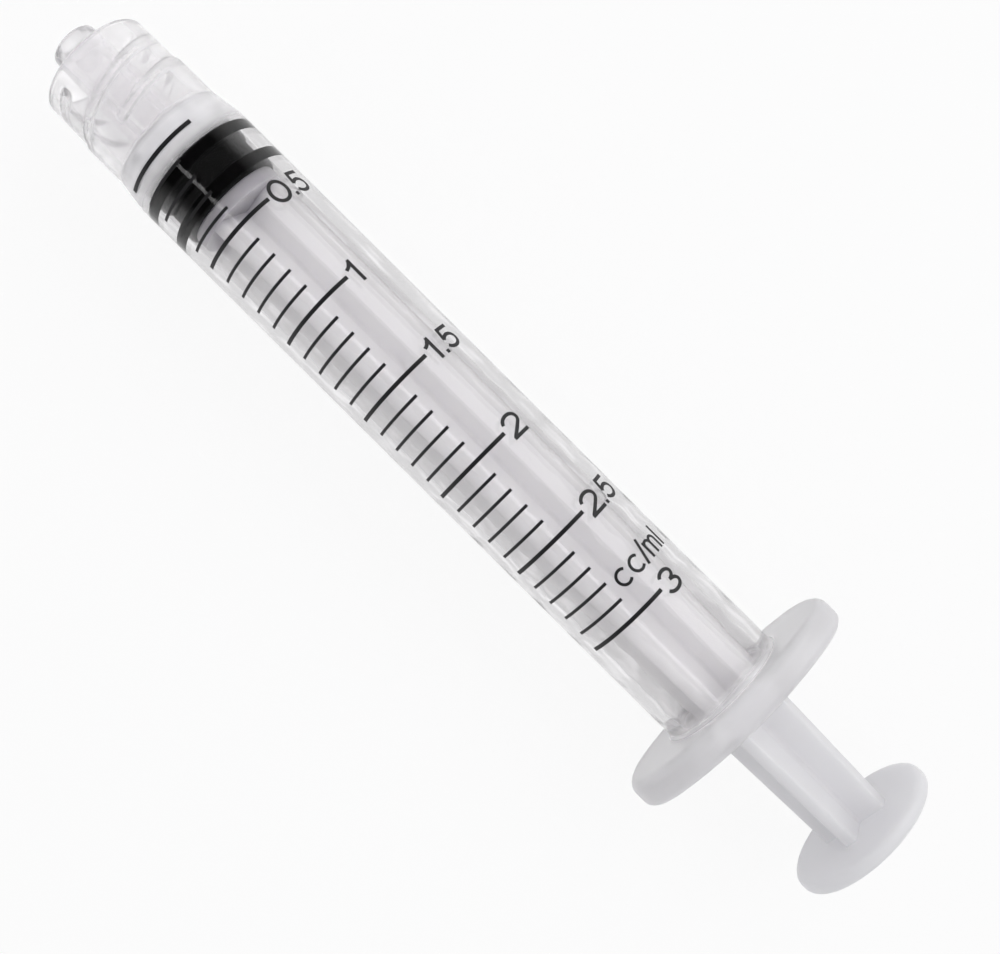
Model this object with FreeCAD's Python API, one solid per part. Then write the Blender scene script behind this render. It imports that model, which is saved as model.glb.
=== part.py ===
import FreeCAD, Part

import math
import os

# Luer lock syringe of 3 ml, in millimetres, lying on its finger flange with its axis along X.
# The tip points to -X, the thumb rest to +X, the ears spread along Y and the scale faces up.
# Places along the axis are counted from the zero line of the scale, + toward the thumb rest.

# Barrel tube
bore_radius = 4.4
tube_wall = 1.0
bore_front = -0.1
bore_mouth_chamfer = 0.4
shoulder_end = 0.7
shoulder_bevel = 0.8
front_wall = 1.8
fluid_path_radius = 1.05

# Finger flange, an oval plate round the mouth of the tube
flange_front = 58.95
flange_thickness = 2.5
flange_ear_reach = 5.1
flange_lip_reach = 1.0
flange_end_radius = 4.6
flange_edge_bevel = 0.35
flange_root_bevel = 0.5

# Bead inside the mouth that keeps the stopper from being pulled out
bead_inset = 0.25
bead_height = 0.25
bead_crest = 0.4
bead_slope = 0.35

# Male luer taper, 6 percent on the diameter
nozzle_length = 10.6
nozzle_tip_radius = 1.98
nozzle_taper = 0.06
nozzle_end_bevel = 0.2

# Lock collar round the nozzle, with a two-start thread inside
collar_length = 8.2
collar_wall = 0.75
collar_draft = 0.018
collar_step_place = 4.5
collar_step_height = 0.17
collar_lip_bevel = 0.25
thread_root_radius = 4.0
thread_crest_radius = 3.5
thread_lead = 5.0
thread_starts = 2
thread_crest_width = 0.3
thread_root_width = 1.0
thread_lip_gap = 0.75
thread_turns = 0.95
thread_bed = 0.15
thread_first_turn = 40.0

# Rubber stopper with two sealing ribs and a shallow cone in front
seal_clearance = 0.05
stopper_rest = 1.2
rib_width = 1.2
rib_bevel = 0.25
waist_width = 1.8
waist_depth = 0.5
waist_bevel = 0.4
cone_height = 1.75
cone_shoulder = 0.4
cone_nose_radius = 0.35
socket_depth = 3.2
socket_lip = 1.0
socket_radius = 2.3
socket_lip_radius = 1.6

# Plunger rod with a cross section, its head and its thumb rest
fit_clearance = 0.05
rod_turn = 29.0
rod_clearance = 0.45
rod_rib_end_radius = 2.97
rod_rib_thickness = 1.1
rod_root_round = 0.35
rod_taper_length = 28.6
head_lead = 0.9
push_plate_thickness = 1.2
push_plate_bevel = 0.2
thumb_rest_gap = 12.2
thumb_rest_radius = 6.45
thumb_rest_thickness = 1.2
thumb_rest_bevel = 0.25
grip_groove_radii = (2.2, 3.6, 5.0)
grip_groove_depth = 0.2

# Worked out from the sizes above
tube_radius = bore_radius + tube_wall
flange_back = flange_front + flange_thickness
flange_half_span = tube_radius + flange_ear_reach
flange_half_depth = tube_radius + flange_lip_reach
bead_place = flange_front + bead_inset
collar_base = bore_front - front_wall
collar_lip = collar_base - collar_length
collar_step = collar_lip + collar_step_place
collar_lip_radius = thread_root_radius + collar_wall
collar_step_radius = collar_lip_radius + collar_draft * collar_step_place
collar_base_radius = collar_step_radius + collar_step_height
nozzle_tip = collar_base - nozzle_length
nozzle_base_radius = nozzle_tip_radius + nozzle_taper / 2 * nozzle_length
stopper_radius = bore_radius - seal_clearance
stopper_back = stopper_rest + 2 * rib_width + waist_width
rod_rib_radius = bore_radius - rod_clearance
push_plate_front = stopper_back + fit_clearance
push_plate_back = push_plate_front + push_plate_thickness
thumb_rest_front = flange_back + thumb_rest_gap
thumb_rest_back = thumb_rest_front + thumb_rest_thickness
cone_slope = cone_height / (stopper_radius - cone_shoulder)
middle = (nozzle_tip + thumb_rest_back) / 2
table = max(flange_half_depth, thumb_rest_radius)

AXIS = FreeCAD.Vector(1, 0, 0)
CENTRE = FreeCAD.Vector(0, 0, 0)
LARGEST_CUT = 0.45


def bevelled_outline(corners):
    """Closed face in the plane through the axis. A corner is (x, radius from the axis, bevel),
    and a bevel over zero cuts the corner off that far along both of its sides."""
    points = [FreeCAD.Vector(x, 0, r) for x, r, _ in corners]
    outline = []
    for i, (_, _, bevel) in enumerate(corners):
        here = points[i]
        back = points[i - 1] - here
        ahead = points[(i + 1) % len(points)] - here
        cut = min(bevel, LARGEST_CUT * min(back.Length, ahead.Length))
        outline.append(here + back.normalize() * cut)
        if bevel > 0:
            outline.append(here + ahead.normalize() * cut)
    return Part.Face(Part.makePolygon(outline + outline[:1]))


def turned(corners):
    """Solid turned about the axis from a bevelled outline."""
    return bevelled_outline(corners).revolve(CENTRE, AXIS, 360)


def bevel_rims(plate, size):
    """Bevels the edges of an upright plate's two faces."""
    rims = [e for e in plate.Edges if e.BoundBox.XLength < size]
    return plate.makeChamfer(size, rims)


def cylinder_along_x(radius, start, end):
    """Plain round solid on the axis."""
    return Part.makeCylinder(radius, end - start, FreeCAD.Vector(start, 0, 0), AXIS)


def barrel_outside():
    """Tube, shoulder and lock collar as one turned body."""
    return turned(
        [
            (collar_lip, 0, 0),
            (collar_lip, collar_lip_radius, collar_lip_bevel),
            (collar_step, collar_step_radius, 0),
            (collar_step, collar_base_radius, collar_step_height / 2),
            (collar_base, collar_base_radius, shoulder_bevel),
            (shoulder_end, tube_radius, shoulder_bevel),
            (flange_back, tube_radius, 0),
            (flange_back, 0, 0),
        ]
    )


def oval_outline():
    """Four arcs that meet smoothly: two of the ends' radius, and two long ones over the tube."""
    end_centre = flange_half_span - flange_end_radius
    drop = flange_half_depth - flange_end_radius
    side_centre = (end_centre**2 - drop**2) / (2 * drop)
    side_radius = flange_half_depth + side_centre
    centres_apart = math.hypot(end_centre, side_centre)
    y = side_radius * end_centre / centres_apart
    z = side_radius * side_centre / centres_apart - side_centre
    arcs = [
        [(-y, z), (0, flange_half_depth), (y, z)],
        [(y, z), (flange_half_span, 0), (y, -z)],
        [(y, -z), (0, -flange_half_depth), (-y, -z)],
        [(-y, -z), (-flange_half_span, 0), (-y, z)],
    ]
    edges = []
    for arc in arcs:
        points = [FreeCAD.Vector(flange_front, across, up) for across, up in arc]
        edges.append(Part.Arc(*points).toShape())
    return Part.Wire(edges)


def flange_plate():
    """Oval plate with bevelled edges, and a small bevel where the tube meets its front face."""
    plate = Part.Face(oval_outline()).extrude(AXIS * flange_thickness)
    plate = bevel_rims(plate, flange_edge_bevel)
    skirt_back = flange_front + flange_thickness / 2
    skirt = turned(
        [
            (flange_front - flange_root_bevel, 0, 0),
            (flange_front - flange_root_bevel, tube_radius, 0),
            (flange_front, tube_radius + flange_root_bevel, 0),
            (skirt_back, tube_radius + flange_root_bevel, 0),
            (skirt_back, 0, 0),
        ]
    )
    return plate.fuse(skirt)


def barrel_bore():
    """Space inside the barrel: cone-shaped front wall, straight bore, bead and chamfered mouth."""
    bead_radius = bore_radius - bead_height
    cone_base = bore_front - (bore_radius - fluid_path_radius) * cone_slope
    bead_start = bead_place - bead_crest / 2 - bead_slope
    bead_end = bead_place + bead_crest / 2 + bead_slope
    space = turned(
        [
            (cone_base, 0, 0),
            (cone_base, fluid_path_radius, 0),
            (bore_front, bore_radius, 0),
            (bead_start, bore_radius, 0),
            (bead_start + bead_slope, bead_radius, 0),
            (bead_end - bead_slope, bead_radius, 0),
            (bead_end, bore_radius, 0),
            (flange_back - bore_mouth_chamfer, bore_radius, 0),
            (flange_back, bore_radius + bore_mouth_chamfer, 0),
            (flange_back, 0, 0),
        ]
    )
    return space.fuse(cylinder_along_x(fluid_path_radius, nozzle_tip, bore_front))


def nozzle():
    """Male luer taper, with its root sunk into the front wall."""
    return turned(
        [
            (nozzle_tip, 0, 0),
            (nozzle_tip, nozzle_tip_radius, nozzle_end_bevel),
            (collar_base, nozzle_base_radius, 0),
            (collar_base + front_wall / 3, nozzle_base_radius, 0),
            (collar_base + front_wall / 3, 0, 0),
        ]
    )


def thread_ridge(turn):
    """One start of the lock thread: a trapezoid carried along a right-hand helix."""
    height = thread_lead * thread_turns
    start = collar_lip + thread_lip_gap
    path = Part.makeHelix(thread_lead, height, thread_root_radius)
    slope = (thread_root_width - thread_crest_width) / 2
    slope = slope / (thread_root_radius - thread_crest_radius)
    outer = thread_root_radius + thread_bed
    outer_half = thread_root_width / 2 + slope * thread_bed
    inner_half = thread_crest_width / 2
    section = Part.makePolygon(
        [
            FreeCAD.Vector(outer, 0, -outer_half),
            FreeCAD.Vector(thread_crest_radius, 0, -inner_half),
            FreeCAD.Vector(thread_crest_radius, 0, inner_half),
            FreeCAD.Vector(outer, 0, outer_half),
            FreeCAD.Vector(outer, 0, -outer_half),
        ]
    )
    ridge = Part.Wire(path).makePipeShell([section], True, True)
    ridge.rotate(CENTRE, FreeCAD.Vector(0, 1, 0), 90)
    ridge.rotate(CENTRE, AXIS, thread_first_turn + turn)
    ridge.translate(FreeCAD.Vector(start + thread_root_width / 2, 0, 0))
    return ridge


def barrel():
    """The barrel, moulded as one piece: nozzle, lock collar, tube and finger flange."""
    body = barrel_outside().fuse(flange_plate())
    body = body.cut(cylinder_along_x(thread_root_radius, collar_lip, collar_base))
    body = body.fuse(nozzle())
    body = body.cut(barrel_bore())
    for start in range(thread_starts):
        body = body.fuse(thread_ridge(360 / thread_starts * start))
    return body.removeSplitter()


def plunger_stopper():
    """Rubber stopper: cone, two ribs with a waist between them, and a socket for the rod's head."""
    waist_radius = stopper_radius - waist_depth
    shoulder_radius = stopper_radius - cone_shoulder
    front_rib_back = stopper_rest + rib_width
    rear_rib_front = front_rib_back + waist_width
    nose = stopper_rest - cone_height + cone_nose_radius * cone_slope
    socket_end = stopper_back - socket_depth
    return turned(
        [
            (socket_end, 0, 0),
            (nose, 0, 0),
            (nose, cone_nose_radius, 0),
            (stopper_rest, shoulder_radius, 0),
            (stopper_rest, stopper_radius, rib_bevel),
            (front_rib_back, stopper_radius, rib_bevel),
            (front_rib_back, waist_radius, waist_bevel),
            (rear_rib_front, waist_radius, waist_bevel),
            (rear_rib_front, stopper_radius, rib_bevel),
            (stopper_back, stopper_radius, rib_bevel),
            (stopper_back, socket_lip_radius, 0),
            (stopper_back - socket_lip, socket_lip_radius, 0),
            (stopper_back - socket_lip, socket_radius, 0),
            (socket_end + head_lead, socket_radius, 0),
            (socket_end, socket_radius - head_lead, 0),
        ]
    )


def rod_head():
    """Push plate behind the stopper, neck and barbed head that the stopper snaps over."""
    neck_radius = socket_lip_radius - fit_clearance
    head_radius = socket_radius - fit_clearance
    head_back = stopper_back - socket_lip - fit_clearance
    head_front = stopper_back - socket_depth + fit_clearance
    return turned(
        [
            (head_front, 0, 0),
            (head_front, head_radius - head_lead, 0),
            (head_front + head_lead, head_radius, 0),
            (head_back, head_radius, 0),
            (head_back, neck_radius, 0),
            (push_plate_front, neck_radius, 0),
            (push_plate_front, rod_rib_radius, push_plate_bevel),
            (push_plate_back, rod_rib_radius, push_plate_bevel),
            (push_plate_back, 0, 0),
        ]
    )


def rod_cross():
    """Two plates that cross on the axis, straight along most of the rod and narrower at the thumb."""
    first = push_plate_back - push_plate_thickness / 2
    last = thumb_rest_front + thumb_rest_thickness / 2
    edge = [
        (first, rod_rib_radius),
        (thumb_rest_front - rod_taper_length, rod_rib_radius),
        (thumb_rest_front, rod_rib_end_radius),
        (last, rod_rib_end_radius),
    ]
    outline = edge + [(x, -r) for x, r in reversed(edge)]
    half = rod_rib_thickness / 2
    points = [FreeCAD.Vector(x, -half, r) for x, r in outline]
    plate = Part.Face(Part.makePolygon(points + points[:1]))
    plate = plate.extrude(FreeCAD.Vector(0, rod_rib_thickness, 0))
    other = plate.copy()
    other.rotate(CENTRE, AXIS, 90)
    cross = plate.fuse(other).removeSplitter()
    roots = [
        e
        for e in cross.Edges
        if e.BoundBox.XLength > (last - first) / 2
        and abs(abs(e.CenterOfMass.y) - half) < half / 10
        and abs(abs(e.CenterOfMass.z) - half) < half / 10
    ]
    return cross.makeFillet(rod_root_round, roots)


def thumb_rest():
    """Round plate with bevelled edges and fine grip grooves in its back face."""
    plate = turned(
        [
            (thumb_rest_front, 0, 0),
            (thumb_rest_front, thumb_rest_radius, 0),
            (thumb_rest_back, thumb_rest_radius, 0),
            (thumb_rest_back, 0, 0),
        ]
    )
    plate = bevel_rims(plate, thumb_rest_bevel)
    for radius in grip_groove_radii:
        groove = turned(
            [
                (thumb_rest_back, radius - grip_groove_depth, 0),
                (thumb_rest_back - grip_groove_depth, radius, 0),
                (thumb_rest_back, radius + grip_groove_depth, 0),
            ]
        )
        plate = plate.cut(groove)
    return plate


def plunger_rod():
    """The rod, moulded as one piece and turned in the barrel as it lies."""
    rod = rod_cross().fuse(rod_head()).fuse(thumb_rest()).removeSplitter()
    rod.rotate(CENTRE, AXIS, rod_turn)
    return rod


def save(name, shape):
    """Writes one piece, moved so that the origin is below its middle, on the table."""
    shape.translate(FreeCAD.Vector(-middle, 0, table))
    shape.exportStep(f"parts/{name}.step")


os.makedirs("parts", exist_ok=True)
save("barrel", barrel())
save("plunger_stopper", plunger_stopper())
save("plunger_rod", plunger_rod())
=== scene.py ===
import math

import bpy
import numpy as np
from mathutils import Matrix, Vector


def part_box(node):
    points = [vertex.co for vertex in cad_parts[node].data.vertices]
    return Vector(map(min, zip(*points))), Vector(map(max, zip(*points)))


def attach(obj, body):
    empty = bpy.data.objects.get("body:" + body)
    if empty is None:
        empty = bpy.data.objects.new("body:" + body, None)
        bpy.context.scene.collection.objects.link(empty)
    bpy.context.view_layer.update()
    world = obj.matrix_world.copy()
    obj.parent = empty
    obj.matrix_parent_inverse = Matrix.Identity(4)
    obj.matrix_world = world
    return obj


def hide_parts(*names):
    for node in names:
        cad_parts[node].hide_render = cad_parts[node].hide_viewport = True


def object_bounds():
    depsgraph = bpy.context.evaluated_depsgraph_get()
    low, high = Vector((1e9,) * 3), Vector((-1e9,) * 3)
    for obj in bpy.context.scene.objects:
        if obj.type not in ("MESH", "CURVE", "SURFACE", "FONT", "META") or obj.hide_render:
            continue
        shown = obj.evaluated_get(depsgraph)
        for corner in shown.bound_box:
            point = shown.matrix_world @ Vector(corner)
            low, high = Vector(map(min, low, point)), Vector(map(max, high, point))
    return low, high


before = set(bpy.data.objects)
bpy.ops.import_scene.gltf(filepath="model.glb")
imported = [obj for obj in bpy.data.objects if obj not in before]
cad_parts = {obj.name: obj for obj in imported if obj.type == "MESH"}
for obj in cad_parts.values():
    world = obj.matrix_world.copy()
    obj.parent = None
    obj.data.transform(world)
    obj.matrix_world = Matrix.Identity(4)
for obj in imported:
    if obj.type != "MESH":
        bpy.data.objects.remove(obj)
cad_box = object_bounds()

# Luer lock syringe of 3 ml. Lengths are in millimetres until a mesh is made. Places along the axis
# are counted from the zero line of the printed scale, + toward the thumb rest, and angles about the
# axis from straight up, + toward +Y.
MM = 0.001
NOZZLE_TIP = -12.5
ZERO_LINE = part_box("barrel")[0].x / MM - NOZZLE_TIP
AXIS_HEIGHT = 6.45
SHARP_ANGLE = math.radians(38)

# Barrel. What goes round the axis is given by its radius.
BORE = 4.4
TUBE = 5.4
BORE_FRONT = -0.1
CONE_FRONT = -1.584
FLUID_PATH = 1.05
NOZZLE_END = 1.98
NOZZLE_ROOT = 2.298
COLLAR_LIP = -10.1
COLLAR_STEP = -5.6
COLLAR_BASE = -1.9
COLLAR_AT_LIP = 4.75
COLLAR_AT_STEP = 4.831
COLLAR = 5.001
SHOULDER_BACK = 0.7
POCKET = 4.0
FLANGE_FRONT = 58.95
FLANGE_BACK = 61.45
FLANGE_SPAN = 10.5
FLANGE_DEPTH = 6.4
FLANGE_END_RADIUS = 4.6
RIM_ZONE = 0.95
MOUTH = 4.8
MOUTH_DEPTH = 0.5
BEAD_CREST = 4.15
BEAD_FRONT = 59.0
BEAD_BACK = 59.4
BEAD_SLOPE = 0.35
WAVE_HEIGHT = 0.03
WAVES_START = 18
WAVES_FULL = 40
BARREL_COLUMNS = 192

# Lock thread inside the collar. THREAD_TURNS and THREAD_FADE are parts of a turn.
THREAD_START = -8.85
THREAD_LEAD = 5.0
THREAD_STARTS = 2
THREAD_TURNS = 0.95
THREAD_HEIGHT = 0.5
THREAD_CREST_HALF = 0.15
THREAD_ROOT_HALF = 0.5
THREAD_FADE = 1 / 30
THREAD_PHASE = math.radians(140)

# Stopper. Its socket goes round the rod's head with a gap. Each length of the head is counted from
# the stopper's back.
STOPPER_FRONT = 1.2
STOPPER_BACK = 5.4
STOPPER_CONE = 3.85
RIB_CREST = 4.41
RIB_WIDTH = 1.2
WAIST = 4.05
STOPPER_COLUMNS = 128
NECK = 1.55
BARB = 2.25
HEAD_TIP = 1.35
NECK_LENGTH = 1.05
BARB_LENGTH = 2.25
HEAD_LENGTH = 3.15
SOCKET_GAP = 0.05

# Rod
PLATE = 4.0
PLATE_BACK = 6.65
ROD_RIB = 3.95
ROD_RIB_AT_THUMB = 2.97
ROD_HALF_THICKNESS = 0.55
ROD_ROOT = 0.35
ROD_TIP_ROUND = 0.15
ROD_TURN = math.radians(29)
ROD_ROWS = 90
TAPER_START = 45.05
THUMB_FRONT = 73.65
THUMB_BACK = 74.85
THUMB_RADIUS = 6.45
THUMB_HUB = 3.2
GROOVE_RADII = (5.0, 3.6, 2.2)
GROOVE = 0.2
POLE = 0.02

# Printed scale. A tenth of a millilitre is 100 cubic millimetres of the bore, and a line goes
# round the tube from its first angle to its last, in degrees.
TENTH = 100 / (math.pi * BORE**2)
TENTHS = 30
LONG_LINE = (-60.0, 22.5)
LONG_STROKE = 0.33
SHORT_LINE = (-58.0, -5.5)
SHORT_STROKE = 0.25
NUMBER_ANGLE = 24.5
NUMBER_HEIGHT = 2.05
NUMBER_STROKE = 0.3
UNIT_PLACE = 28.2 * TENTH
UNIT_START = 0.05
UNIT_HEIGHT = 2.0
UNIT_STROKE = 0.24
INK_INSIDE = 5.39
INK_OUTSIDE = 5.412


def colour(code):
    """Linear colour of an sRGB hex value."""
    parts = np.array([int(code[i : i + 2], 16) for i in (1, 3, 5)]) / 255
    linear = np.where(parts <= 0.04045, parts / 12.92, ((parts + 0.055) / 1.055) ** 2.4)
    return (*linear.tolist(), 1.0)


def add(tree, kind, inputs=(), **settings):
    """Adds a node. Each input is a value, or the output that is linked to it."""
    node = tree.nodes.new(kind)
    for key, value in settings.items():
        setattr(node, key, value)
    for key, value in dict(inputs).items():
        if isinstance(value, bpy.types.NodeSocket):
            tree.links.new(value, node.inputs[key])
        else:
            node.inputs[key].default_value = value
    return node


def empty_tree(owner):
    """The owner's node tree with nothing in it."""
    owner.use_nodes = True
    owner.node_tree.nodes.clear()
    return owner.node_tree


def soft_profile(corners):
    """Points (x, r) of an outline. A corner is (x, r, round, step): an arc of radius round is laid
    tangent to both of its sides, where they leave room, and the straight stretch after it has a
    point every step mm, with one close to each arc that keeps the shading of the stretch flat."""
    places = np.array([corner[:2] for corner in corners])
    arcs = []
    for i, here in enumerate(places):
        radius = corners[i][2]
        if i in (0, len(corners) - 1) and radius == 0:
            arcs.append(here[None])
            continue
        back, ahead = places[i - 1] - here, places[(i + 1) % len(corners)] - here
        back_length, ahead_length = np.linalg.norm(back), np.linalg.norm(ahead)
        back, ahead = back / back_length, ahead / ahead_length
        half = math.acos(np.clip(back @ ahead, -1, 1)) / 2
        cut = min(radius / math.tan(half), 0.45 * back_length, 0.45 * ahead_length)
        radius = cut * math.tan(half)
        middle = (back + ahead) / np.linalg.norm(back + ahead)
        centre = here + middle * radius / math.sin(half)
        turn = math.pi / 2 - half
        count = max(3, math.ceil(2 * turn / math.radians(15)) + 1)
        sweep = np.linspace(-turn, turn, count)[:, None]
        side = (ahead - back) / np.linalg.norm(ahead - back)
        arcs.append(centre + radius * (np.sin(sweep) * side - np.cos(sweep) * middle))
    outline = []
    for i, arc in enumerate(arcs):
        outline.append(arc)
        if i == len(arcs) - 1 and corners[-1][2] == 0:
            break
        run = arcs[(i + 1) % len(arcs)][0] - arc[-1]
        length = np.linalg.norm(run)
        near = min(0.05, length / 4)
        count = max(1, math.ceil((length - 2 * near) / corners[i][3]))
        along = np.linspace(near, length - near, count + 1)[:, None] / length
        outline.append(arc[-1] + run * along)
    return np.concatenate(outline)


def stretch(places, start, end, new_end, keep):
    """Moves places between start and end so that end comes to new_end: the last keep mm move as
    one, and what lies between them and the start is scaled."""
    scaled = start + (places - start) * (new_end - keep - start) / (end - keep - start)
    moved = places + new_end - end
    return np.where(places < start, places, np.where(places > end - keep, moved, scaled))


def make_piece(name, vertices, faces, body, material):
    """Mesh object in the row frame from points in mm, riding on a body."""
    points = vertices * MM + np.array([ZERO_LINE * MM, 0, AXIS_HEIGHT * MM])
    mesh = bpy.data.meshes.new(name)
    mesh.from_pydata(points.tolist(), [], faces)
    mesh.validate()
    mesh.shade_smooth()
    mesh.set_sharp_from_angle(angle=SHARP_ANGLE)
    mesh.materials.append(material)
    piece = bpy.data.objects.new(name, mesh)
    bpy.context.scene.collection.objects.link(piece)
    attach(piece, body)
    return piece


def ring_faces(rows, columns, loop):
    """Faces of a grid that is closed round its columns. Its rows close on each other in a loop, or
    else the first and the last row are fans round one point each, numbered after the grid's."""
    here = np.arange(rows * columns).reshape(rows, columns)
    ahead = np.roll(here, -1, axis=0) if loop else here[1:]
    first = here if loop else here[:-1]
    quads = np.stack([first, ahead, np.roll(ahead, -1, 1), np.roll(first, -1, 1)], axis=-1)
    faces = quads.reshape(-1, 4).tolist()
    if not loop:
        front = np.full(columns, rows * columns)
        fan = np.stack([front, here[0], np.roll(here[0], -1)], axis=-1)
        back_fan = np.stack([front + 1, np.roll(here[-1], -1), here[-1]], axis=-1)
        faces += fan.tolist() + back_fan.tolist()
    return faces


def flange_outline(angles):
    """Distance from the axis to the flange's edge: an oval of four arcs that meet smoothly."""
    end_centre = FLANGE_SPAN - FLANGE_END_RADIUS
    drop = FLANGE_DEPTH - FLANGE_END_RADIUS
    side_centre = (end_centre**2 - drop**2) / (2 * drop)
    side_radius = FLANGE_DEPTH + side_centre
    apart = math.hypot(end_centre, side_centre)
    meet_across = side_radius * end_centre / apart
    meet_up = side_radius * side_centre / apart - side_centre
    across, up = np.abs(np.sin(angles)), np.abs(np.cos(angles))
    end = end_centre * across
    end = end + np.sqrt(np.maximum(end**2 + FLANGE_END_RADIUS**2 - end_centre**2, 0))
    side = -side_centre * up
    side = side + np.sqrt(side**2 + side_radius**2 - side_centre**2)
    return np.where(across * meet_up > up * meet_across, end, side)


def thread_height(x, angles):
    """Height of the lock thread's ridges above the pocket wall. A ridge's middle moves by the lead
    in each right-hand turn, its section is a trapezoid, and it fades in and out at its ends."""
    height = 0
    for start in range(THREAD_STARTS):
        turn = THREAD_PHASE + 2 * math.pi * start / THREAD_STARTS - angles
        turns = np.mod(turn / (2 * math.pi), 1)
        off = np.abs(x - THREAD_START - THREAD_LEAD * turns)
        ridge = np.clip((THREAD_ROOT_HALF - off) / (THREAD_ROOT_HALF - THREAD_CREST_HALF), 0, 1)
        fade = np.clip(np.minimum(turns, THREAD_TURNS - turns) / THREAD_FADE, 0, 1)
        height = height + ridge * fade
    return THREAD_HEIGHT * height


def flow_waves(x, angles):
    """Height of the flow waves in the bore, from -1 to 1: the mean of three sine waves that cross
    at a slant, 2 to 4 mm long, times a share that grows from 0 to 1 along the tube."""
    waves = np.sin(1.9 * x + 5 * angles) + np.sin(2.9 * x - 4 * angles + 1.3)
    waves = waves + np.sin(1.6 * x + 3 * np.sin(2 * angles) + 0.6)
    return waves / 3 * np.clip((x - WAVES_START) / (WAVES_FULL - WAVES_START), 0, 1)


def barrel_points():
    """Rows along the barrel's closed outline, columns round the axis: a lathe form whose flange
    is stretched to an oval, whose pocket wall has the thread's ridges and whose bore has waves."""
    profile = soft_profile(
        [
            (NOZZLE_TIP, FLUID_PATH, 0.12, 0.3),
            (NOZZLE_TIP, NOZZLE_END, 0.3, 0.6),
            (COLLAR_BASE, NOZZLE_ROOT, 0.15, 0.4),
            (COLLAR_BASE, POCKET, 0.12, 0.1),
            (COLLAR_LIP, POCKET, 0.25, 0.2),
            (COLLAR_LIP, COLLAR_AT_LIP, 0.3, 0.8),
            (COLLAR_STEP, COLLAR_AT_STEP, 0.05, 0.1),
            (COLLAR_STEP, COLLAR, 0.08, 0.8),
            (COLLAR_BASE, COLLAR, 2.0, 0.5),
            (SHOULDER_BACK, TUBE, 2.0, 1.5),
            (FLANGE_FRONT, TUBE, 0.5, 0.5),
            (FLANGE_FRONT, FLANGE_SPAN, 0.9, 0.3),
            (FLANGE_BACK, FLANGE_SPAN, 0.7, 0.5),
            (FLANGE_BACK, MOUTH, 0.1, 0.2),
            (FLANGE_BACK - MOUTH_DEPTH, BORE, 0.1, 0.3),
            (BEAD_BACK + BEAD_SLOPE, BORE, 0.3, 0.2),
            (BEAD_BACK, BEAD_CREST, 0.2, 0.2),
            (BEAD_FRONT, BEAD_CREST, 0.2, 0.2),
            (BEAD_FRONT - BEAD_SLOPE, BORE, 0.3, 0.4),
            (BORE_FRONT, BORE, 0.3, 0.3),
            (CONE_FRONT, FLUID_PATH, 0.2, 0.6),
        ]
    )
    angles = np.linspace(0, 2 * math.pi, BARREL_COLUMNS, endpoint=False)[None]
    x, r = profile[:, :1], profile[:, 1:]
    radius = stretch(r, TUBE, FLANGE_SPAN, flange_outline(angles), RIM_ZONE)
    near = 0.1
    in_pocket = (x < COLLAR_BASE) & (np.abs(r - POCKET) < near)
    radius = radius - np.where(in_pocket, thread_height(x, angles), 0)
    in_bore = (x > WAVES_START) & (x < BEAD_FRONT - 0.4) & (np.abs(r - BORE) < near)
    radius = radius + np.where(in_bore, WAVE_HEIGHT * flow_waves(x, angles), 0)
    x = np.broadcast_to(x, radius.shape)
    return np.stack([x, radius * np.sin(angles), radius * np.cos(angles)], axis=-1)


def stopper_points():
    """Rows along the stopper's outline from its nose to the floor of its socket, columns round
    the axis. The ribs are pressed into the bore by a hundredth of a millimetre."""
    front, back, gap = STOPPER_FRONT, STOPPER_BACK, SOCKET_GAP
    profile = soft_profile(
        [
            (front - 1.75, POLE, 0, 0.1),
            (front - 1.55, 0.35, 0.3, 0.3),
            (front, STOPPER_CONE, 0.15, 0.2),
            (front, RIB_CREST, 0.15, 0.2),
            (front + RIB_WIDTH, RIB_CREST, 0.15, 0.2),
            (front + RIB_WIDTH, WAIST, 0.3, 0.2),
            (back - RIB_WIDTH, WAIST, 0.3, 0.2),
            (back - RIB_WIDTH, RIB_CREST, 0.15, 0.2),
            (back, RIB_CREST, 0.15, 0.4),
            (back, NECK + gap, 0.1, 0.3),
            (back - NECK_LENGTH + gap, NECK + gap, 0.1, 0.3),
            (back - NECK_LENGTH + gap, BARB + gap, 0.1, 0.3),
            (back - BARB_LENGTH - gap, BARB + gap, 0.1, 0.3),
            (back - HEAD_LENGTH - gap, HEAD_TIP + gap, 0.1, 0.3),
            (back - HEAD_LENGTH - gap, POLE, 0, 0.3),
        ]
    )
    angles = np.linspace(0, 2 * math.pi, STOPPER_COLUMNS, endpoint=False)[None]
    x, r = profile[:, :1], profile[:, 1:]
    x = np.broadcast_to(x, (len(profile), angles.size))
    return np.stack([x, r * np.sin(angles), r * np.cos(angles)], axis=-1)


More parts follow.
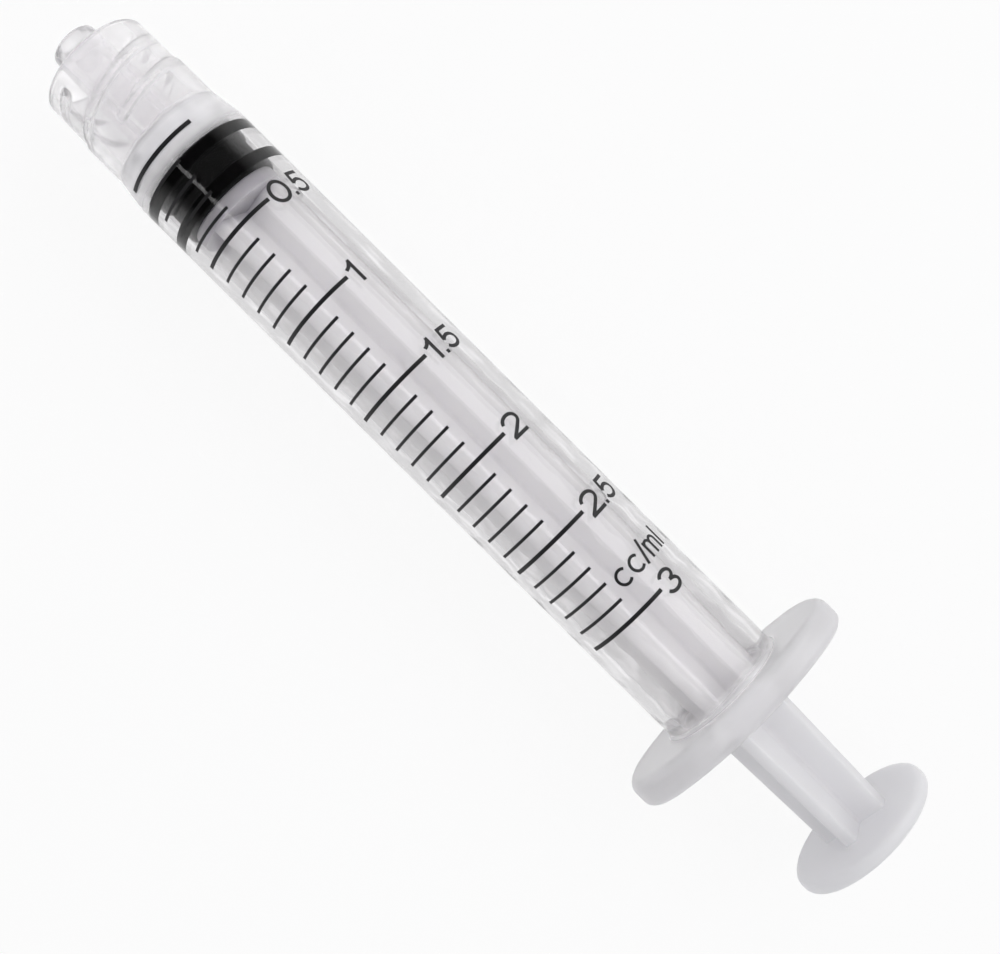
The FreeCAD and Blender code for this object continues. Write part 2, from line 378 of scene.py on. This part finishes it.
def cross_outline(reach):
    """The rod's section, round the axis: four ribs of one half-outline each way. It goes from the
    fillet between two ribs along a rib's side, at even angles, and round its corner to its end."""
    half, root, tip = ROD_HALF_THICKNESS, ROD_ROOT, ROD_TIP_ROUND
    fillet = np.radians(np.linspace(225, 270, 6))
    corner = np.radians(np.linspace(90, 0, 5))
    side = np.linspace(math.atan(half / (half + root)), math.atan(half / (ROD_RIB - tip)), 14)
    u = np.concatenate(
        [
            half + root + root * np.cos(fillet),
            half / np.tan(side[1:-1]),
            ROD_RIB - tip + tip * np.cos(corner),
            [ROD_RIB],
        ]
    )
    w = np.concatenate(
        [
            half + root + root * np.sin(fillet),
            np.full(side.size - 2, half),
            half - tip + tip * np.sin(corner),
            [half / 3],
        ]
    )
    u = stretch(u, half + root, ROD_RIB, reach, 2 * tip)
    u, w = np.concatenate([u, u[::-1][:-1]]), np.concatenate([w, -w[::-1][:-1]])
    quarters = np.arange(4)[:, None] * math.pi / 2
    across = (u * np.sin(quarters) - w * np.cos(quarters)).ravel()
    up = (u * np.cos(quarters) + w * np.sin(quarters)).ravel()
    return across, up


def rod_points():
    """Rows along the rod from its head to the back of its thumb rest, columns round the axis. A
    row is a circle, or the cross, and where they meet both lie in one plane."""
    back = STOPPER_BACK
    head = soft_profile(
        [
            (back - HEAD_LENGTH, POLE, 0, 0.3),
            (back - HEAD_LENGTH, HEAD_TIP, 0.1, 0.3),
            (back - BARB_LENGTH, BARB, 0.1, 0.3),
            (back - NECK_LENGTH, BARB, 0.1, 0.3),
            (back - NECK_LENGTH, NECK, 0.1, 0.3),
            (back + SOCKET_GAP, NECK, 0.1, 0.3),
            (back + SOCKET_GAP, PLATE, 0.2, 0.3),
            (PLATE_BACK, PLATE, 0.03, 0.3),
            (PLATE_BACK, PLATE - 0.04, 0, 0.3),
        ]
    )
    grooves = []
    for radius in GROOVE_RADII:
        grooves += [
            (THUMB_BACK, radius + GROOVE, 0.1, 0.2),
            (THUMB_BACK - GROOVE, radius, 0.08, 0.2),
            (THUMB_BACK, radius - GROOVE, 0.1, 0.4),
        ]
    thumb = soft_profile(
        [
            (THUMB_FRONT, THUMB_HUB, 0, 0.4),
            (THUMB_FRONT, THUMB_RADIUS, 0.45, 0.2),
            (THUMB_BACK, THUMB_RADIUS, 0.45, 0.3),
            *grooves,
            (THUMB_BACK, POLE, 0, 0.3),
        ]
    )
    rows = []
    across, up = cross_outline(ROD_RIB)
    length = np.hypot(across, up)
    for x, radius in head:
        rows.append((x, across / length * radius, up / length * radius))
    for x in np.linspace(PLATE_BACK, THUMB_FRONT, ROD_ROWS):
        share = np.clip((x - TAPER_START) / (THUMB_FRONT - TAPER_START), 0, 1)
        across, up = cross_outline(ROD_RIB + (ROD_RIB_AT_THUMB - ROD_RIB) * share)
        rows.append((x, across, up))
    length = np.hypot(across, up)
    for x, radius in thumb:
        rows.append((x, across / length * radius, up / length * radius))
    x = np.array([np.full(across.size, row[0]) for row in rows])
    across = np.array([row[1] for row in rows])
    up = np.array([row[2] for row in rows])
    cos, sin = math.cos(ROD_TURN), math.sin(ROD_TURN)
    return np.stack([x, across * cos - up * sin, across * sin + up * cos], axis=-1)


def with_poles(points):
    """A grid's points in one list, with the middles of its first and last row added."""
    poles = np.array([points[0].mean(axis=0), points[-1].mean(axis=0)])
    return np.concatenate([points.reshape(-1, 3), poles])


def bow(centre, radii, turn):
    """Points of an elliptic arc, turn = (start, end) in degrees, counted from the right."""
    sweep = np.radians(np.linspace(*turn, 24))
    return np.stack([centre[0] + radii[0] * np.cos(sweep), centre[1] + radii[1] * np.sin(sweep)], 1)


def line(*points):
    """Points along straight runs."""
    stops = np.array(points, float)
    share = np.linspace(0, len(points) - 1, 8 * (len(points) - 1) + 1)
    order = np.arange(len(points))
    return np.stack([np.interp(share, order, stops[:, 0]), np.interp(share, order, stops[:, 1])], 1)


# A sign is its width and its strokes' middle lines, both in parts of the digits' height.
SIGNS = {
    "0": (0.92, [bow((0.46, 0.5), (0.37, 0.43), (0, 360))]),
    "1": (0.62, [line((0.06, 0.68), (0.22, 0.74), (0.38, 0.9)), line((0.38, 0.0), (0.38, 1.0))]),
    "2": (
        0.92,
        [
            bow((0.45, 0.67), (0.36, 0.26), (175, -42)),
            line((0.72, 0.5), (0.12, 0.1)),
            line((0.06, 0.07), (0.86, 0.07)),
        ],
    ),
    "3": (
        0.92,
        [
            bow((0.44, 0.72), (0.31, 0.21), (165, -85)),
            bow((0.44, 0.29), (0.36, 0.22), (88, -165)),
        ],
    ),
    "5": (
        0.92,
        [
            line((0.2, 0.93), (0.8, 0.93)),
            line((0.2, 1.0), (0.13, 0.47)),
            bow((0.44, 0.34), (0.36, 0.27), (150, -155)),
        ],
    ),
    ".": (0.24, [line((0.12, 0.0), (0.12, 0.15))]),
    "c": (0.73, [bow((0.36, 0.36), (0.29, 0.31), (45, 315))]),
    "/": (0.32, [line((0.0, -0.02), (0.3, 1.0))]),
    "m": (
        0.94,
        [
            line((0.1, 0.0), (0.1, 0.7)),
            bow((0.28, 0.46), (0.18, 0.2), (180, 0)),
            line((0.46, 0.0), (0.46, 0.48)),
            bow((0.64, 0.46), (0.18, 0.2), (180, 0)),
            line((0.82, 0.0), (0.82, 0.48)),
        ],
    ),
    "l": (0.26, [line((0.13, 0.0), (0.13, 0.97))]),
}


def ribbon(path, width):
    """A stroke of ink: its section is a box as wide as the stroke and as thick as the ink, carried
    along the path (x, round) on the tube. Returns points and faces."""
    ahead = np.gradient(path, axis=0)
    ahead = ahead / np.linalg.norm(ahead, axis=1, keepdims=True)
    aside = np.stack([-ahead[:, 1], ahead[:, 0]], axis=1) * width / 2
    edges = np.stack([path + aside, path - aside, path - aside, path + aside], axis=1)
    radius = np.array([INK_OUTSIDE, INK_OUTSIDE, INK_INSIDE, INK_INSIDE])
    angle = edges[..., 1] / TUBE
    points = np.stack([edges[..., 0], radius * np.sin(angle), radius * np.cos(angle)], axis=-1)
    here = np.arange(4 * len(path)).reshape(-1, 4)
    around = np.roll(here, -1, axis=1)
    sides = np.stack([here[:-1], around[:-1], around[1:], here[1:]], axis=-1).reshape(-1, 4)
    caps = np.array([here[0][::-1], here[-1]])
    return points.reshape(-1, 3), np.concatenate([sides, caps])


def sign_strokes(text, middle, start, height, stroke):
    """Strokes of a line of signs that reads round the tube, with its top toward the nozzle."""
    strokes = []
    for sign in text:
        width, lines = SIGNS[sign]
        for points in lines:
            along = middle + height / 2 - points[:, 1] * height
            strokes.append((np.stack([along, start + points[:, 0] * height], axis=1), stroke))
        start += width * height
    return strokes


def printed_scale():
    """All the ink on the barrel as one mesh: a line every 0.1 ml, a long one every 0.5 ml, the
    numbers at their ends and the unit."""
    strokes = []
    number_start = math.radians(NUMBER_ANGLE) * TUBE
    for tenth in range(TENTHS + 1):
        long_line = tenth % 5 == 0
        angles = np.linspace(*(LONG_LINE if long_line else SHORT_LINE), 30)
        path = np.stack([np.full(30, tenth * TENTH), np.radians(angles) * TUBE], axis=1)
        strokes.append((path, LONG_STROKE if long_line else SHORT_STROKE))
    for tenth in range(5, TENTHS + 1, 5):
        strokes += sign_strokes(
            f"{tenth / 10:g}", tenth * TENTH, number_start, NUMBER_HEIGHT, NUMBER_STROKE
        )
    strokes += sign_strokes("cc/ml", UNIT_PLACE, UNIT_START, UNIT_HEIGHT, UNIT_STROKE)
    vertices, faces, count = [], [], 0
    for path, width in strokes:
        points, quads = ribbon(path, width)
        vertices.append(points)
        faces += (quads + count).tolist()
        count += len(points)
    return np.concatenate(vertices), faces


def clear_polypropylene():
    """Barrel: clarified polypropylene, moulded against polished steel. Its tube is clear, and the
    thicker collar, front wall and flange are milky in soft clouds of about 3.5 mm."""
    material = bpy.data.materials.new("clarified polypropylene, polished mould")
    tree = empty_tree(material)
    place = add(tree, "ShaderNodeTexCoord").outputs["Object"]
    stretched = add(tree, "ShaderNodeMapping", {"Vector": place, "Scale": (0.6, 1, 1)})
    mottle = add(
        tree,
        "ShaderNodeTexNoise",
        {"Vector": stretched.outputs[0], "Scale": 1 / (3.5 * MM), "Detail": 1.5},
    )
    along = add(tree, "ShaderNodeSeparateXYZ", {0: place}).outputs["X"]
    share = add(
        tree,
        "ShaderNodeMapRange",
        {"Value": along, "From Min": cad_box[0].x, "From Max": (ZERO_LINE + FLANGE_BACK) * MM},
    )
    length = FLANGE_BACK - NOZZLE_TIP
    # Place along the axis, share of milk, roughness, brightness of the tint
    zones = (
        (COLLAR_LIP - 0.8, 0.3, 0.15, 1.0),
        (COLLAR_LIP + 0.2, 0.2, 0.08, 1.0),
        (COLLAR_BASE - 0.1, 0.2, 0.08, 1.0),
        (COLLAR_BASE + 0.5, 0.75, 0.12, 1.0),
        (0.1, 0.7, 0.12, 1.0),
        (STOPPER_FRONT - 0.3, 0.4, 0.06, 0.97),
        (STOPPER_FRONT + 0.4, 0.0, 0.05, 0.82),
        (FLANGE_FRONT - 1.0, 0.0, 0.05, 0.82),
        (FLANGE_FRONT, 0.5, 0.3, 0.93),
    )
    ramps = []
    for column in (1, 2, 3):
        ramp = add(tree, "ShaderNodeValToRGB", {"Fac": share.outputs[0]})
        stops = ramp.color_ramp.elements
        for zone in zones[1:-1]:
            stops.new((zone[0] - NOZZLE_TIP) / length)
        stops[0].position = (zones[0][0] - NOZZLE_TIP) / length
        stops[-1].position = (zones[-1][0] - NOZZLE_TIP) / length
        for stop, zone in zip(stops, zones):
            stop.color = (zone[column], zone[column] * 0.99, zone[column], 1)
        ramps.append(ramp.outputs[0])
    milk, rough, tint = ramps
    clouds = add(
        tree,
        "ShaderNodeMapRange",
        {0: mottle.outputs[0], "From Min": 0.35, "From Max": 0.65, "To Min": 0.8, "To Max": 1.2},
    )
    milky = add(tree, "ShaderNodeMath", {0: milk, 1: clouds.outputs[0]}, operation="MULTIPLY")
    clear = add(tree, "ShaderNodeMath", {0: 1.0, 1: milky.outputs[0]}, operation="SUBTRACT")
    shader = add(
        tree,
        "ShaderNodeBsdfPrincipled",
        {
            "Base Color": tint,
            "Roughness": rough,
            "IOR": 1.49,
            "Transmission Weight": clear.outputs[0],
        },
    )
    add(tree, "ShaderNodeOutputMaterial", {"Surface": shader.outputs[0]})
    return material


def natural_polypropylene():
    """Rod: uncoloured polypropylene with a satin moulded face. It is milky and lets light through.
    Its push plate, which lies on the black stopper, is painted darker: a painted shade of the
    stopper."""
    material = bpy.data.materials.new("natural polypropylene, satin mould")
    tree = empty_tree(material)
    place = add(tree, "ShaderNodeTexCoord").outputs["Object"]
    grain = add(tree, "ShaderNodeTexNoise", {"Vector": place, "Scale": 1 / (0.12 * MM)})
    bump = add(
        tree,
        "ShaderNodeBump",
        {"Height": grain.outputs[0], "Distance": 0.004 * MM, "Strength": 0.6},
    )
    along = add(tree, "ShaderNodeSeparateXYZ", {0: place}).outputs["X"]
    stopper_shade_fade = add(
        tree,
        "ShaderNodeMapRange",
        {
            0: along,
            "From Min": (ZERO_LINE + PLATE_BACK - 0.2) * MM,
            "From Max": (ZERO_LINE + PLATE_BACK + 1.0) * MM,
        },
    )
    # Painted shade: #AAA8AD on the push plate next to the stopper, fading to the rod's own colour
    # #E4E3E5 from 0.2 mm before the plate's back to 1 mm behind it
    tone = add(tree, "ShaderNodeValToRGB", {"Fac": stopper_shade_fade.outputs[0]})
    tone.color_ramp.elements[0].color = colour("#AAA8AD")
    tone.color_ramp.elements[1].color = colour("#E4E3E5")
    shader = add(
        tree,
        "ShaderNodeBsdfPrincipled",
        {
            "Base Color": tone.outputs[0],
            "Roughness": 0.45,
            "IOR": 1.49,
            "Subsurface Weight": 1.0,
            "Subsurface Radius": (1.0, 1.0, 1.05),
            "Subsurface Scale": 5.0 * MM,
            "Normal": bump.outputs[0],
        },
    )
    add(tree, "ShaderNodeOutputMaterial", {"Surface": shader.outputs[0]})
    return material


def stopper_rubber():
    """Stopper: black rubber with a thin film of silicone oil, which gives it a soft gloss."""
    material = bpy.data.materials.new("black rubber, siliconised")
    tree = empty_tree(material)
    place = add(tree, "ShaderNodeTexCoord").outputs["Object"]
    mottle = add(tree, "ShaderNodeTexNoise", {"Vector": place, "Scale": 1 / (0.5 * MM)})
    tone = add(tree, "ShaderNodeValToRGB", {"Fac": mottle.outputs[0]})
    tone.color_ramp.elements[0].color = colour("#020202")
    tone.color_ramp.elements[1].color = colour("#050406")
    bump = add(
        tree,
        "ShaderNodeBump",
        {"Height": mottle.outputs[0], "Distance": 0.01 * MM, "Strength": 0.5},
    )
    shader = add(
        tree,
        "ShaderNodeBsdfPrincipled",
        {
            "Base Color": tone.outputs[0],
            "Roughness": 0.45,
            "IOR": 1.5,
            "Specular IOR Level": 0.02,
            "Normal": bump.outputs[0],
        },
    )
    add(tree, "ShaderNodeOutputMaterial", {"Surface": shader.outputs[0]})
    return material


def scale_ink():
    """Scale: screen-printed black ink, a little uneven in its density and almost matt."""
    material = bpy.data.materials.new("screen-printed black ink")
    tree = empty_tree(material)
    place = add(tree, "ShaderNodeTexCoord").outputs["Object"]
    speckle = add(tree, "ShaderNodeTexNoise", {"Vector": place, "Scale": 1 / (0.15 * MM)})
    tone = add(tree, "ShaderNodeValToRGB", {"Fac": speckle.outputs[0]})
    tone.color_ramp.elements[0].color = colour("#0E0D10")
    tone.color_ramp.elements[1].color = colour("#1A181C")
    shader = add(
        tree,
        "ShaderNodeBsdfPrincipled",
        {"Base Color": tone.outputs[0], "Roughness": 0.5, "IOR": 1.5},
    )
    add(tree, "ShaderNodeOutputMaterial", {"Surface": shader.outputs[0]})
    return material


def seen_rays(tree):
    """Two outputs. The first is one for rays that show the background: the camera's, mirrored ones
    and refracted ones. The second is one for refracted rays only."""
    path = add(tree, "ShaderNodeLightPath")
    kinds = [path.outputs[k] for k in ("Is Camera Ray", "Is Glossy Ray", "Is Transmission Ray")]
    both = add(tree, "ShaderNodeMath", {0: kinds[0], 1: kinds[1]}, operation="MAXIMUM")
    every = add(tree, "ShaderNodeMath", {0: both.outputs[0], 1: kinds[2]}, operation="MAXIMUM")
    return every.outputs[0], kinds[2]


def white_sheet():
    """Floor: matt white paper that glows just enough to show white, and keeps the shadow. Through
    the barrel it shows the pools of light, about 4 mm wide, that clear plastic throws on it."""
    material = bpy.data.materials.new("matt white paper")
    tree = empty_tree(material)
    paper = add(tree, "ShaderNodeBsdfDiffuse", {"Color": colour("#F4F4F4")})
    seen, refracted = seen_rays(tree)
    place = add(tree, "ShaderNodeTexCoord").outputs["Object"]
    pools = add(tree, "ShaderNodeTexNoise", {"Vector": place, "Scale": 1 / (4 * MM)})
    thrown = add(
        tree,
        "ShaderNodeMapRange",
        {0: pools.outputs[0], "From Min": 0.5, "From Max": 0.65, "To Min": 0.84, "To Max": 1.15},
    )
    level = add(tree, "ShaderNodeMix", {0: refracted, 2: 1.0, 3: thrown.outputs[0]})
    glow = add(tree, "ShaderNodeEmission", {"Color": (1, 1, 1, 1), "Strength": level.outputs[0]})
    share = add(tree, "ShaderNodeMath", {0: seen, 1: 0.9}, operation="MULTIPLY")
    mixed = add(
        tree,
        "ShaderNodeMixShader",
        {0: share.outputs[0], 1: paper.outputs[0], 2: glow.outputs[0]},
    )
    add(tree, "ShaderNodeOutputMaterial", {"Surface": mixed.outputs[0]})
    return material


def softbox(name, place, size, power):
    """Area lamp of size (along X, across) that faces the middle of the object."""
    lamp = bpy.data.lights.new(name, "AREA")
    lamp.shape = "RECTANGLE"
    lamp.size, lamp.size_y = size
    lamp.energy = power
    holder = bpy.data.objects.new(name, lamp)
    bpy.context.scene.collection.objects.link(holder)
    holder.location = place
    facing = Vector((place[0], 0, AXIS_HEIGHT * MM)) - Vector(place)
    holder.rotation_euler = facing.to_track_quat("-Z", "Y").to_euler()


def studio():
    """Floor, world and lamps. The world is white near the horizon and greyer overhead, where the
    studio's ceiling is. Rays that leave the barrel after they lit something inside it find a level
    of their own, so that the rod and the stopper are lit evenly through the plastic."""
    size = 3.0
    mesh = bpy.data.meshes.new("floor")
    corners = [(-size, -size, 0), (size, -size, 0), (size, size, 0), (-size, size, 0)]
    mesh.from_pydata(corners, [], [(0, 1, 2, 3)])
    mesh.materials.append(white_sheet())
    floor = bpy.data.objects.new("floor", mesh)
    bpy.context.scene.collection.objects.link(floor)

    world = bpy.data.worlds.new("studio")
    bpy.context.scene.world = world
    outside_light, inside_light = 0.58, 2.3
    tree = empty_tree(world)
    direction = add(tree, "ShaderNodeTexCoord").outputs["Generated"]
    parts = add(tree, "ShaderNodeSeparateXYZ", {0: direction}).outputs
    seen, refracted = seen_rays(tree)
    path = add(tree, "ShaderNodeLightPath").outputs
    # For mirrored and for refracted rays: the band of heights, the horizon's level, the ceiling's
    strength = 1.0
    for kind, low, high, horizon, ceiling in (
        (path["Is Glossy Ray"], 0.05, 0.6, 1.0, 0.03),
        (refracted, 0.1, 0.3, 0.9, 0.15),
    ):
        shade = add(
            tree,
            "ShaderNodeMapRange",
            {
                0: parts["Z"],
                "From Min": low,
                "From Max": high,
                "To Min": horizon,
                "To Max": ceiling,
            },
        )
        mix = add(tree, "ShaderNodeMix", {0: kind, 2: strength, 3: shade.outputs[0]})
        strength = mix.outputs[0]
    inner = add(tree, "ShaderNodeMath", {0: path["Diffuse Depth"], 1: 1}, operation="MINIMUM")
    level = add(tree, "ShaderNodeMix", {0: inner.outputs[0], 2: strength, 3: inside_light})
    white, cool = (1, 1, 1, 1), (0.97, 0.97, 1, 1)
    shown = add(tree, "ShaderNodeBackground", {"Color": white, "Strength": level.outputs[0]})
    lit = add(tree, "ShaderNodeBackground", {"Color": cool, "Strength": outside_light})
    mixed = add(
        tree,
        "ShaderNodeMixShader",
        {0: seen, 1: lit.outputs[0], 2: shown.outputs[0]},
    )
    add(tree, "ShaderNodeOutputWorld", {"Surface": mixed.outputs[0]})

    softbox("side softbox", (0.05, 0.35, 0.30), (0.4, 0.25), 0.7)
    softbox("strip light", (0, -0.15, 0.42), (0.42, 0.045), 0.12)


def camera():
    """Camera straight above the syringe, at the photograph's place, turn and distance."""
    data = bpy.data.cameras.new("camera")
    data.sensor_fit = "HORIZONTAL"
    data.sensor_width = 36.0
    data.lens = 46.72
    data.clip_start, data.clip_end = 0.005, 20
    right = Vector((0.70902938, 0.7051759, -0.00207068))
    up = Vector((-0.70517571, 0.7090142, -0.00510606))
    back = Vector((-0.00213253, 0.00508053, 0.99998482))
    holder = bpy.data.objects.new("camera", data)
    bpy.context.scene.collection.objects.link(holder)
    turned = Matrix((right, up, back)).transposed().to_4x4()
    holder.matrix_world = Matrix.Translation((0.003566, 0.000024, 0.107803)) @ turned
    bpy.context.scene.camera = holder


camera()
studio()
bpy.context.scene.view_settings.view_transform = "Standard"

points = barrel_points()
faces = ring_faces(*points.shape[:2], loop=True)
points, slot = points.reshape(-1, 3), "barrel_clear_polypropylene"
piece = make_piece("barrel_moulding", points, faces, "barrel", clear_polypropylene())
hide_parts("barrel")

points = stopper_points()
faces = ring_faces(*points.shape[:2], loop=False)
points, slot = with_poles(points), "stopper_black_rubber"
piece = make_piece("stopper_moulding", points, faces, "stopper", stopper_rubber())
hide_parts("plunger_stopper")

points = rod_points()
faces = ring_faces(*points.shape[:2], loop=False)
points, slot = with_poles(points), "rod_natural_polypropylene"
piece = make_piece("rod_moulding", points, faces, "rod", natural_polypropylene())
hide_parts("plunger_rod")

points, faces = printed_scale()
make_piece("printed_scale", points, faces, "barrel", scale_ink())
